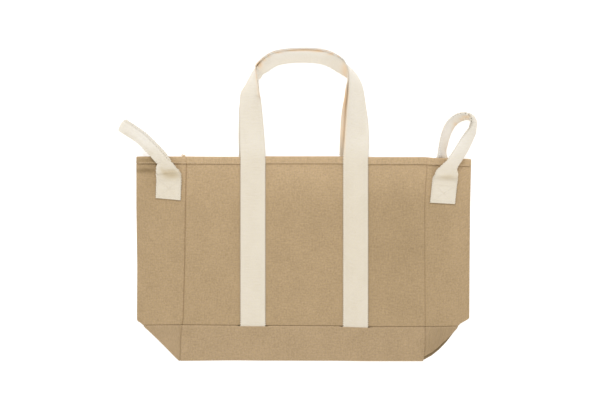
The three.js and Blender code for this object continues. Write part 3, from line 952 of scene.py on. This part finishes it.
def base_section(column, low, inset, dip):
    """The folded base along the bag: down the back, up inside to the ridge, down, and up the front."""
    back_turn = low + TURN
    front_turn = back_turn + inset
    inside = front_z(column(front_turn), front_turn) - back_z(column(back_turn), back_turn) - 4 * TURN
    ridge = RIDGE - inside / 2
    down, up = Vector((0, -1, 0)), Vector((0, 1, 0))

    def at(y, z):
        return Vector((column(y), y, z))

    def inner(start, end, rise):
        heights = [lerp(start, end, share) for share in shares(INNER_ROWS)]
        return [at(y, back_z(column(y), y) + 2 * TURN + rise) for y in heights]

    def rows(start, step, pull=0.0):
        top = BAND_TOP - SEAM_GAP / 2
        return [lerp(start, top - pull, place / top) for place in spaced(0, top, step)]

    back_rows = rows(back_turn, BASE_STEPS[1])
    front_rows = rows(front_turn, BASE_STEPS[2], STRAP_PULL * over_strap(column(BAND_TOP)))
    back = [at(y, CANVAS / 2 + BACK_SEAM * dip) for y in reversed(back_rows)]
    inner_back = inner(back_turn, ridge, 0.0)
    inner_front = inner(ridge, front_turn, inside)
    front = [at(y, front_z(column(y), y) + band_rise(column(y), y) - dip) for y in front_rows]
    return (
        back
        + half_turn(back[-1], inner_back[0], down, BASE_TURNS)
        + inner_back
        + half_turn(inner_back[-1], inner_front[0], up, BASE_TURNS)
        + inner_front
        + half_turn(inner_front[-1], front[0], down, BASE_TURNS)
        + front
    )


def base_grid():
    grid = []
    width = PLAN[0].right_seam - PLAN[0].left_seam
    for place in spaced(0, width, BASE_STEPS[0]):
        dip = BASE_SEAM * (seam_dip(place) + seam_dip(width - place))
        grid.append(base_section(lambda y, u=place / width: panel_x(u, y)[0], 0.0, BASE_INSET, dip))
    return grid


def slant_crossing(side, column):
    """Height where a column of the foot meets the slanting fold, found by halving."""
    low, high = 0.0, BAND_END
    for _ in range(HALVINGS):
        y = (low + high) / 2
        if side * column(y) > side * fold_x(side, y):
            low = y
        else:
            high = y
    return low


def foot_grid(side, inset):
    """Grid of a gusset's lower end, folded with the base up to its slanting corner."""
    end = fold_x(side, BAND_END)
    reach = abs(end - seam_x(side, BAND_TOP))
    grid = []
    for place in FOOT_EDGE_PLACES + [lerp(FOOT_EVEN_FROM, reach, share) for share in shares(FOOT_COLUMNS)]:

        def column(y, share=place / reach):
            return lerp(seam_x(side, y) + side * SEAM_GAP / 2, end, share)

        low = slant_crossing(side, column)
        room = max(0.0, INSET_TOP - low)
        dip = BASE_SEAM * seam_dip(place)
        grid.append(base_section(column, low, min(inset, INSET_SHARE * room), dip))
    return list(reversed(grid)) if side < 0 else grid


# Webbing

Station = namedtuple("Station", "x y z roll fold lag puff")
Slice = namedtuple("Slice", "point width out along fold lag puff length")

# A strap's slope is measured this share of a stretch to both sides; where the strap is nearly upright,
# it keeps the level direction that it had before
SLOPE_STEP = 0.02
STEEP = 0.2


def curve_point(points, at, share):
    """A point on the smooth curve through points, a share of the way past point number at."""
    b, c = points[at], points[at + 1]
    a = points[at - 1] if at > 0 else b * 2 - c
    d = points[at + 2] if at + 2 < len(points) else c * 2 - b
    first, middle, last = (math.sqrt((q - p).length) for p, q in ((a, b), (b, c), (c, d)))
    leave = ((b - a) / first - (c - a) / (first + middle) + (c - b) / middle) * middle
    arrive = ((c - b) / middle - (d - b) / (middle + last) + (d - c) / last) * middle
    return hermite(b, c, leave, arrive, share)


def curve_value(stations, column, at, share):
    """A station's number, on a smooth curve along the same stations."""
    around = [max(0, at - 1), at, at + 1, min(len(stations) - 1, at + 2)]
    a, b, c, d = (getattr(stations[k], column) for k in around)
    return hermite(b, c, (c - a) / 2, (d - b) / 2, share)


def ribbon(stations):
    """Slices along a strap: its middle, and the directions of its width, its face and its length."""
    points = [Vector((s.x, s.y, s.z)) for s in stations]
    up = Vector((0, 0, 1))
    slices = []
    before = None
    length = 0.0
    for at in range(len(points) - 1):
        count = max(2, round((points[at + 1] - points[at]).length / STRAP_STEP))
        is_last = at == len(points) - 2
        for k in range(count + (1 if is_last else 0)):
            share = k / count
            ahead = curve_point(points, at, min(1.0, share + SLOPE_STEP))
            behind = curve_point(points, at, max(0.0, share - SLOPE_STEP))
            along = (ahead - behind).normalized()
            level = along.cross(up)
            if before and level.length < STEEP:
                level = before.copy()
            if before and level.dot(before) < 0:
                level.negate()
            level = (level - along * level.dot(along)).normalized()
            before = level
            columns = ("roll", "fold", "lag", "puff")
            roll, fold, lag, puff = (curve_value(stations, column, at, share) for column in columns)
            width = Matrix.Rotation(-math.radians(roll), 3, along) @ level
            out = width.cross(along)
            point = curve_point(points, at, share)
            if slices:
                length += (point - slices[-1].point).length
            slices.append(Slice(point, width, out, along, fold, lag, puff, length))
    return slices


def picots(length):
    """How far the small loops of weft stand out along each selvedge."""
    turn = 2 * math.pi * length / PICOT_PITCH
    return [PICOT * math.sin(turn + phase) for phase in PICOT_PHASES]


def flat_section(place):
    """Webbing lying open: places across it and how far they stand out."""
    half = WEBBING_WIDTH / 2
    section = [[-half * share, WEBBING_CROWN * (1 - share**2)] for share in FLAT_PLACES]
    section += [[-across, out] for across, out in reversed(section[:-1])]
    left, right = picots(place.length)
    section[0][0] -= left
    section[-1][0] += right
    return section


def doubled_section(side, full_flap, place):
    """Webbing whose one edge is turned under along a crease; side tells which edge, -1 for the left."""
    fold = clamped(place.fold)
    bend = math.pi * smoothstep(*BEND_SPAN, fold)
    flap = lerp(FLAP, full_flap, smoothstep(*FLAP_SPAN, fold))
    arc = math.pi * CREASE
    pucker = PUCKER * smoothstep(*PUCKER_SPAN, place.puff)
    start, end = flap - arc / 2, flap + arc / 2
    stops = [start * share for share in shares(FLAP_STEPS)]
    stops += [lerp(start, end, share) for share in shares(CREASE_STEPS)[1:]]
    stops += [lerp(end, WEBBING_WIDTH, share) for share in shares(FACE_STEPS)[1:]]
    section = []
    for stop in stops:
        turned = clamped((end - stop) / arc) * bend
        beyond = max(0.0, start - stop)
        over = max(0.0, stop - end)
        if bend > NO_BEND:
            arc_across = arc / bend * math.sin(turned)
            arc_down = arc / bend * (1 - math.cos(turned))
        else:
            arc_across = min(arc, max(0.0, end - stop))
            arc_down = 0.0
        across = end + over - arc_across - beyond * math.cos(bend)
        out = -arc_down - beyond * math.sin(bend) + PINCH * fold * (beyond / start) ** 2
        out += place.puff * fold * math.sin(math.pi * over / (WEBBING_WIDTH - end))
        out += pucker * math.sin(2 * math.pi * place.length / PUCKER_PITCH + PUCKER_SLANT * stop)
        section.append([across, out])
    turned_edge, open_edge = picots(place.length)
    section[0][0] += turned_edge * (-1 if bend < math.pi / 2 else 1)
    section[-1][0] += open_edge
    middles = []
    for values in zip(*section):
        middles.append((min(values) + max(values)) / 2)
    centred = [(-side * (across - middles[0]), out - middles[1]) for across, out in section]
    return centred if side < 0 else list(reversed(centred))


def webbing(name, node, slices, section, selvedge):
    """A strap: its section carried along its slices; selvedge is how thick its edges are on the bag."""
    half = WEBBING_WIDTH / 2
    lines = []
    for s in slices:
        slip = s.along * s.lag / half
        lines.append([s.point + (s.width + slip) * across + s.out * out for across, out in section(s)])
    grid = [list(column) for column in zip(*lines)]
    edge = [lerp(selvedge, FULL_EDGE, smoothstep(*FULL_EDGE_SPAN, s.point.y)) for s in slices]
    inside = [FULL_EDGE] * len(slices)
    taper = [edge, *[inside] * (len(grid) - 2), edge]
    tints = [partial(webbing_painted_shading, name), partial(webbing_brown_shade, name)]
    return drape(name, node, grid, cotton_webbing, taper, *tints)


def leg_z(x, y):
    """Middle of a front leg: tucked under the band at its foot, lying on the front above it."""
    clear = WEBBING_WALL / 2 + LEG_CLEAR
    return front_top(x, y) + lerp(LEG_UNDER, clear, smoothstep(*LEG_RISE_SPAN, y))


def handle_stations(is_back):
    """A long handle: up the left leg, round the loop and down the right leg."""

    def leg(x):
        foot = BACK_LEG_FOOT if is_back else BAND_TOP - LEG_TUCK
        even = [lerp(LEG_EVEN_FROM, RIM, share) for share in shares(LEG_COUNT)]
        for y in [foot, *LEG_ROWS, *even]:
            z = WEBBING_WALL / 2 if is_back else leg_z(x, y)
            yield Station(x, y, z, 0.0, 0.0, 0.0, 0.0)

    rows = BACK_LOOP if is_back else FRONT_LOOP
    loop = [Station(row.x, row.y, row.z, row.roll, 0.0, row.lag, 0.0) for row in rows]
    left = leg(LEFT_LEG + (BACK_LEFT if is_back else 0.0))
    right = leg(RIGHT_LEG + (BACK_RIGHT if is_back else 0.0))
    return [*left, *loop, *reversed(list(right))]


def end_stations(rows):
    """An end handle, its front tab counted from the cloth that it is sewn to."""
    stations = []
    for row in rows:
        z, roll = row.z, row.roll
        if row.on == "front":
            rise = front_top(row.x + TAB_HALF, row.y) - front_top(row.x - TAB_HALF, row.y)
            z += front_top(row.x, row.y)
            roll += math.degrees(math.atan2(rise, 2 * TAB_HALF))
        stations.append(Station(row.x, row.y, z, roll, row.fold, row.lag, row.puff))
    return stations


# Sewing thread


def stitch_row(path, length):
    """Stitches along path(share), which gives a point and the direction that the cloth faces."""
    count = max(2, round(length / STITCH))
    row = []
    for k in range(count):
        middle = k + 0.5
        point, out = path(middle / count)
        along = path((middle + STITCH_REACH) / count)[0] - path((middle - STITCH_REACH) / count)[0]
        row.append((point, along.normalized(), out))
    return row


def sew(name, rows, bead_size, material, slot):
    """One piece of sewing: a small slim bead of thread for every stitch."""
    bm = bmesh.new()
    size = Matrix.Diagonal((*[side * MM for side in bead_size], 1))
    for row in rows:
        for point, along, out in row:
            bead = bmesh.ops.create_icosphere(bm, subdivisions=1, radius=0.5)
            across = out.cross(along).normalized()
            turn = Matrix((along, across, along.cross(across))).transposed().to_4x4()
            place = Matrix.Translation(in_frame(point)) @ turn @ size
            bmesh.ops.transform(bm, matrix=place, verts=bead["verts"])
    return placed(name, bm, material, slot)


def hem_row(surface, first, last):
    """Stitches along a panel's hem, between two shares of its width."""
    proud = HEM_LAYER + HEM_PUFF + CANVAS / 2

    def path(share):
        u = lerp(first, last, share)
        out = facing(surface, u, HEM_SEWN)
        return surface(u, HEM_SEWN) + out * proud, out

    points = [path(share)[0] for share in shares(LENGTH_STEPS)]
    return stitch_row(path, sum((b - a).length for a, b in zip(points, points[1:])))


def strap_box(slices, low, high):
    """A sewn box with a cross on a strap, between two lengths along it."""
    half = WEBBING_WIDTH / 2 - BOX_INSET
    lengths = [place.length for place in slices]

    def path(start, end):
        def at(share):
            across = lerp(start[0], end[0], share)
            place = slices[bisect(lengths, lerp(start[1], end[1], share)) - 1]
            proud = WEBBING_WALL / 2 + WEBBING_CROWN * (1 - (2 * across / WEBBING_WIDTH) ** 2)
            return place.point + place.width * across + place.out * proud, place.out

        return at

    corners = [(-half, low), (half, low), (half, high), (-half, high)]
    lines = [(0, 1), (1, 2), (2, 3), (3, 0), (0, 2), (1, 3)]
    rows = []
    for a, b in lines:
        length = math.dist(corners[a], corners[b])
        rows.append(stitch_row(path(corners[a], corners[b]), length))
    return rows


# Materials

CANVAS_COLOUR = (0.446, 0.318, 0.18)
BAND_COLOUR = (0.442, 0.317, 0.185)
WEBBING_COLOUR = (0.772, 0.7, 0.574)
HEM_THREAD_COLOUR = (0.66, 0.52, 0.33)
STRAP_THREAD_COLOUR = (0.86, 0.79, 0.66)

# Shares of the colour in the darkest and the lightest yarns
CANVAS_DARK = (0.66, 0.64, 0.6)
CANVAS_LIGHT = 1.32
WEBBING_DARK = (0.86, 0.82, 0.74)
WEBBING_LIGHT = 1.07
THREAD_DARK = 0.85
THREAD_LIGHT = 1.08
FRAY_LIGHT = 1.55

# Noise in the yarns: grains to a metre across and along the cloth, its detail and roughness, and its
# weight in the colour and in the height
Grain = namedtuple("Grain", "across along detail rough colour height", defaults=[0, 0])
CANVAS_GRAINS = {
    "weft": Grain(70, 800, 3, 0.5, 0.5, 0.9),
    "warp": Grain(800, 60, 3, 0.5, 0.4, 0.8),
    "fleck": Grain(360, 330, 3, 0.7, 1.1, 0.5),
    "cloud": Grain(26, 22, 3, 0.6, 0.3, 0),
}
WEBBING_GRAINS = {
    "pick": Grain(60, 700, 3, 0.5, 0.6, 0.6),
    "fleck": Grain(700, 500, 2, 0.6, 0.55, 0.3),
    "cloud": Grain(40, 18, 2, 0.5, 0.45, 0),
}
CANVAS_FIBRE = Grain(480, 440, 2, 0.7)
WEBBING_FIBRE = Grain(420, 460, 2, 0.7)
CANVAS_HUE = 0.6
WEBBING_HUE = 0.3
TWIST = {"Scale": 1500.0, "Detail": 2.0}

# Waves of the weave: their pitch in metres and their weights
Wave = namedtuple("Wave", "pitch colour height")
WEAVE = Wave(0.0017, 0.12, 0.6)
RIB = Wave(0.0024, 0.16, 0.8)
YARN = Wave(0.0011, 0.08, 0.3)
CHEVRON = 0.004

# Roughness: how much the fleck changes it and its least; relief: its depth in metres and its strength
CANVAS_ROUGHNESS = (0.12, 0.84)
WEBBING_ROUGHNESS = (0.12, 0.8)
THREAD_ROUGHNESS = (0.15, 0.6)
CANVAS_RELIEF = (0.0006, 0.55)
WEBBING_RELIEF = (0.0005, 0.5)
THREAD_RELIEF = (0.0002, 0.4)
CANVAS_SHADER = {
    "Specular IOR Level": 0.15,
    "Sheen Weight": 0.12,
    "Sheen Roughness": 0.5,
    "Sheen Tint": (1.0, 0.9, 0.75, 1),
}
WEBBING_SHADER = {"Specular IOR Level": 0.2, "Sheen Weight": 0.1, "Sheen Roughness": 0.4}
FLOOR_SHADER = {
    "Base Color": (0.8, 0.8, 0.8, 1),
    "Roughness": 1.0,
    "Specular IOR Level": 0.0,
    "Emission Color": (1, 1, 1, 1),
    "Emission Strength": 0.55,
}


class Finish:
    """A procedural material that is built node by node."""

    def __init__(self, name, constants=None):
        self.material = bpy.data.materials.new(name)
        self.material.use_nodes = True
        self.tree = self.material.node_tree
        self.shader = self.tree.nodes["Principled BSDF"]
        for key, value in (constants or {}).items():
            self.shader.inputs[key].default_value = value

    def node(self, kind, inputs=None, **settings):
        made = self.tree.nodes.new(kind)
        for key, value in settings.items():
            setattr(made, key, value)
        for key, value in (inputs or {}).items():
            if isinstance(value, bpy.types.NodeSocket):
                self.tree.links.new(value, made.inputs[key])
            else:
                made.inputs[key].default_value = value
        return made

    def math(self, operation, a, b=0.0, c=0.0):
        return self.node("ShaderNodeMath", {0: a, 1: b, 2: c}, operation=operation).outputs[0]

    def cloth(self):
        """Places on the cloth, in metres: together, across it and along it."""
        uv = self.node("ShaderNodeUVMap", uv_map="cloth").outputs[0]
        split = self.node("ShaderNodeSeparateXYZ", {0: uv})
        return uv, split.outputs[0], split.outputs[1]

    def wave(self, value, pitch):
        return self.math("SINE", self.math("MULTIPLY", value, 2 * math.pi / pitch))

    def from_zero(self, wave):
        """A wave that runs from 0 to 1 instead of from -1 to 1."""
        return self.math("MULTIPLY_ADD", wave, 0.5, 0.5)

    def noise(self, uv, grain):
        """Noise in the yarns, from 0 to 1."""
        scale = (grain.across, grain.along, 1)
        scaled = self.node("ShaderNodeMapping", {"Vector": uv, "Scale": scale}).outputs[0]
        inputs = {"Vector": scaled, "Scale": 1.0, "Detail": grain.detail, "Roughness": grain.rough}
        return self.node("ShaderNodeTexNoise", inputs).outputs[0]

    def total(self, parts):
        """Sum of values, each with its weight, counted from their middle."""
        result = None
        for value, weight in parts:
            part = self.math("MULTIPLY", self.math("SUBTRACT", value, 0.5), weight)
            result = part if result is None else self.math("ADD", result, part)
        return result

    def yarns(self, uv, grains, waves):
        """Noises and waves, weighed together for the colour and for the height, and the fleck alone."""
        noises = {name: self.noise(uv, grain) for name, grain in grains.items()}
        parts = [(noises[name], grain) for name, grain in grains.items()] + waves
        mix = self.math("ADD", self.total([(value, part.colour) for value, part in parts]), 0.5)
        height = self.total([(value, part.height) for value, part in parts])
        return mix, height, noises["fleck"]

    def ramp(self, value, stops):
        made = self.node("ShaderNodeValToRGB", {0: value})
        elements = made.color_ramp.elements
        while len(elements) < len(stops):
            elements.new(0.5)
        for element, (place, colour) in zip(elements, stops):
            element.position = place
            element.color = (*colour, 1)
        return made.outputs[0]

    def tone_and_painted_shading(self, colour, powers, fibre, hue):
        """A colour made paler or browner by the cloth's tone and its painted light and shade; powers tell how
        fast each channel goes, and hue how far the blue follows the noise of the fibre."""
        tone_and_shading = self.node("ShaderNodeAttribute", attribute_name="tone_and_shading").outputs["Fac"]
        channels = {k: self.math("POWER", tone_and_shading, power) for k, power in enumerate(powers)}
        channels[2] = self.math("MULTIPLY", channels[2], self.math("ADD", self.total([(fibre, hue)]), 1.0))
        change = self.node("ShaderNodeCombineXYZ", channels).outputs[0]
        return self.node("ShaderNodeVectorMath", {0: colour, 1: change}, operation="MULTIPLY").outputs[0]

    def finish(self, colour, roughness, height, depth, strength):
        links = self.tree.links
        relief = {"Height": height, "Distance": depth, "Strength": strength}
        links.new(self.node("ShaderNodeBump", relief).outputs[0], self.shader.inputs["Normal"])
        links.new(colour, self.shader.inputs["Base Color"])
        links.new(roughness, self.shader.inputs["Roughness"])
        return self.material


def shade(colour, share):
    """A colour times one share, or times a share for each channel."""
    each = share if isinstance(share, tuple) else (share,) * 3
    return tuple(channel * part for channel, part in zip(colour, each))


def canvas_finish(name, colour):
    """Undyed plain-weave canvas with slubs."""
    make = Finish(name, CANVAS_SHADER)
    uv, across, along = make.cloth()
    crossing = make.math("MULTIPLY", make.wave(across, WEAVE.pitch), make.wave(along, WEAVE.pitch))
    mix, height, fleck = make.yarns(uv, CANVAS_GRAINS, [(make.from_zero(crossing), WEAVE)])
    stops = [(0.0, shade(colour, CANVAS_DARK)), (0.5, colour), (1.0, shade(colour, CANVAS_LIGHT))]
    fibre = make.noise(uv, CANVAS_FIBRE)
    tint = make.tone_and_painted_shading(make.ramp(mix, stops), CANVAS_POWERS, fibre, CANVAS_HUE)
    roughness = make.math("MULTIPLY_ADD", fleck, *CANVAS_ROUGHNESS)
    return make.finish(tint, roughness, height, *CANVAS_RELIEF)


def webbing_finish(name, colour):
    """Cream cotton webbing: herringbone ribs and fine yarns."""
    make = Finish(name, WEBBING_SHADER)
    uv, across, along = make.cloth()
    slanting = make.math("ADD", along, make.math("PINGPONG", across, CHEVRON))
    rib = make.from_zero(make.wave(slanting, RIB.pitch))
    yarn = make.from_zero(make.wave(across, YARN.pitch))
    mix, height, fleck = make.yarns(uv, WEBBING_GRAINS, [(rib, RIB), (yarn, YARN)])
    stops = [(0.0, shade(colour, WEBBING_DARK)), (0.5, colour), (1.0, shade(colour, WEBBING_LIGHT))]
    fibre = make.noise(uv, WEBBING_FIBRE)
    plain = make.tone_and_painted_shading(make.ramp(mix, stops), WEBBING_POWERS, fibre, WEBBING_HUE)
    # Painted brown shade in the straps' gaps and creases
    brown_shade = make.node("ShaderNodeAttribute", attribute_name="brown_shade").outputs["Fac"]
    tint = make.node("ShaderNodeMix", {0: brown_shade, 6: plain, 7: BROWN_SHADE_COLOUR}, data_type="RGBA").outputs[2]
    roughness = make.math("MULTIPLY_ADD", fleck, *WEBBING_ROUGHNESS)
    return make.finish(tint, roughness, height, *WEBBING_RELIEF)


def thread_finish(name, colour):
    """Twisted sewing thread."""
    make = Finish(name)
    place = make.node("ShaderNodeTexCoord").outputs["Object"]
    twist = make.node("ShaderNodeTexNoise", {"Vector": place, **TWIST}).outputs[0]
    tint = make.ramp(twist, [(0.3, shade(colour, THREAD_DARK)), (0.7, shade(colour, THREAD_LIGHT))])
    roughness = make.math("MULTIPLY_ADD", twist, *THREAD_ROUGHNESS)
    return make.finish(tint, roughness, twist, *THREAD_RELIEF)


canvas = Cloth(CANVAS, canvas_finish("undyed_canvas", CANVAS_COLOUR), "canvas")
band_canvas = Cloth(CANVAS, canvas_finish("band_canvas", BAND_COLOUR), "band_canvas")
cotton_webbing = Cloth(WEBBING_WALL, webbing_finish("cotton_webbing", WEBBING_COLOUR), "webbing")
hem_thread = thread_finish("hem_thread", HEM_THREAD_COLOUR)
strap_thread = thread_finish("strap_thread", STRAP_THREAD_COLOUR)
fray_thread = thread_finish("fray_thread", shade(CANVAS_COLOUR, FRAY_LIGHT))


# The bag's own pieces, each with the CAD node that it stands for

front = drape("front_cloth", "front_panel", panel(front_surface, FRONT_STEPS), canvas)
back = drape("back_cloth", "back_panel", panel(back_surface, BACK_STEPS), canvas)
left_end = drape("left_end_cloth", "left_gusset", gusset(-1), canvas)
right_end = drape("right_end_cloth", "right_gusset", gusset(1), canvas)
base = drape("base_cloth", "base_band", base_grid(), band_canvas)
drape_foot = partial(drape, cloth=band_canvas, shade_at=foot_painted_shade)
left_foot = drape_foot("left_foot_cloth", "left_gusset_band", foot_grid(-1, LEFT_INSET))
right_foot = drape_foot("right_foot_cloth", "right_gusset_band", foot_grid(1, RIGHT_INSET))

front_slices = ribbon(handle_stations(False))
back_slices = ribbon(handle_stations(True))
left_slices = ribbon(end_stations(LEFT_END))
right_slices = ribbon(end_stations(RIGHT_END))
left_section = partial(doubled_section, -1, LEFT_FLAP)
right_section = partial(doubled_section, 1, RIGHT_FLAP)
front_strap = webbing("front_strap", "front_handle", front_slices, flat_section, THIN_EDGE)
back_strap = webbing("back_strap", "back_handle", back_slices, flat_section, THIN_EDGE)
left_strap = webbing("left_end_strap", "left_side_handle", left_slices, left_section, FULL_EDGE)
right_strap = webbing("right_end_strap", "right_side_handle", right_slices, right_section, FULL_EDGE)

# Hem and strap stitching

hem_rows = [hem_row(surface, *PANEL_RUN) for surface in (front_surface, back_surface)]
for side in SIDES:
    hem_rows += [hem_row(gusset_surface(side), *run) for run in GUSSET_RUNS]
frayed = []
for end in FRAYED:
    middle = Vector((end.x, RIM + end.rise, front_top(end.x, RIM) - FRAY_DEPTH))
    frayed.append((middle, Vector((end.lean, 1, 0)).normalized(), Vector((0, 0, 1))))
frayed_ends = sew("frayed_ends", [frayed], FRAY_BEAD, fray_thread, "canvas")
hem_stitches = sew("hem_stitches", hem_rows, HEM_BEAD, hem_thread, "canvas")

leg_start = BAND_TOP - LEG_TUCK
box_low, box_high = BOX_LOW - leg_start, BOX_HIGH - leg_start
front_length = front_slices[-1].length
strap_rows = strap_box(front_slices, box_low, box_high)
strap_rows += strap_box(front_slices, front_length - box_high, front_length - box_low)
strap_rows += strap_box(left_slices, BOX_INSET, TAB_BOX_END)
strap_rows += strap_box(right_slices, BOX_INSET, TAB_BOX_END)
strap_stitches = sew("strap_stitches", strap_rows, STRAP_BEAD, strap_thread, "webbing")

# Floor, light and camera

FLOOR_SIZE = 8.0
WORLD_STRENGTH = 0.82
PIXEL = 1.6
PHOTO_MIDDLE = (-6.4, 256.0)
PHOTO_WIDTH = 600
LENS = 135.0
SENSOR = 36.0
FRONT_HEIGHT = 12.0

floor_bm = bmesh.new()
bmesh.ops.create_grid(floor_bm, x_segments=1, y_segments=1, size=FLOOR_SIZE / 2)
floor_mesh = bpy.data.meshes.new("floor")
floor_bm.to_mesh(floor_mesh)
floor_bm.free()
floor_mesh.materials.append(Finish("white_floor", FLOOR_SHADER).material)
floor = bpy.data.objects.new("floor", floor_mesh)
bpy.context.collection.objects.link(floor)

world = bpy.data.worlds.new("studio")
bpy.context.scene.world = world
world.use_nodes = True
world.node_tree.nodes["Background"].inputs["Color"].default_value = (1, 1, 1, 1)
world.node_tree.nodes["Background"].inputs["Strength"].default_value = WORLD_STRENGTH

Lamp = namedtuple("Lamp", "name place size watts")
LAMPS = table(Lamp, [
    ("key", (-0.4, 2.6, 3.0), 1.2, 49.5),
    ("fill", (0.2, -3.2, 1.2), 1.0, 17.0),
])
for lamp in LAMPS:
    light = bpy.data.lights.new(lamp.name, "AREA")
    light.size = lamp.size
    light.energy = lamp.watts
    holder = bpy.data.objects.new(lamp.name, light)
    holder.location = lamp.place
    to_origin = -Vector(lamp.place)
    holder.rotation_euler = to_origin.to_track_quat("-Z", "Y").to_euler()
    holder.visible_camera = False
    bpy.context.collection.objects.link(holder)

camera_data = bpy.data.cameras.new("camera")
camera_data.lens = LENS
camera_data.sensor_width = SENSOR
camera = bpy.data.objects.new("camera", camera_data)
aim = in_frame(Vector((*PHOTO_MIDDLE, FRONT_HEIGHT)))
distance = PHOTO_WIDTH * PIXEL * MM * LENS / SENSOR
camera.location = (aim.x, aim.y, aim.z + distance)
bpy.context.collection.objects.link(camera)
bpy.context.scene.camera = camera
bpy.context.scene.view_settings.view_transform = "Standard"
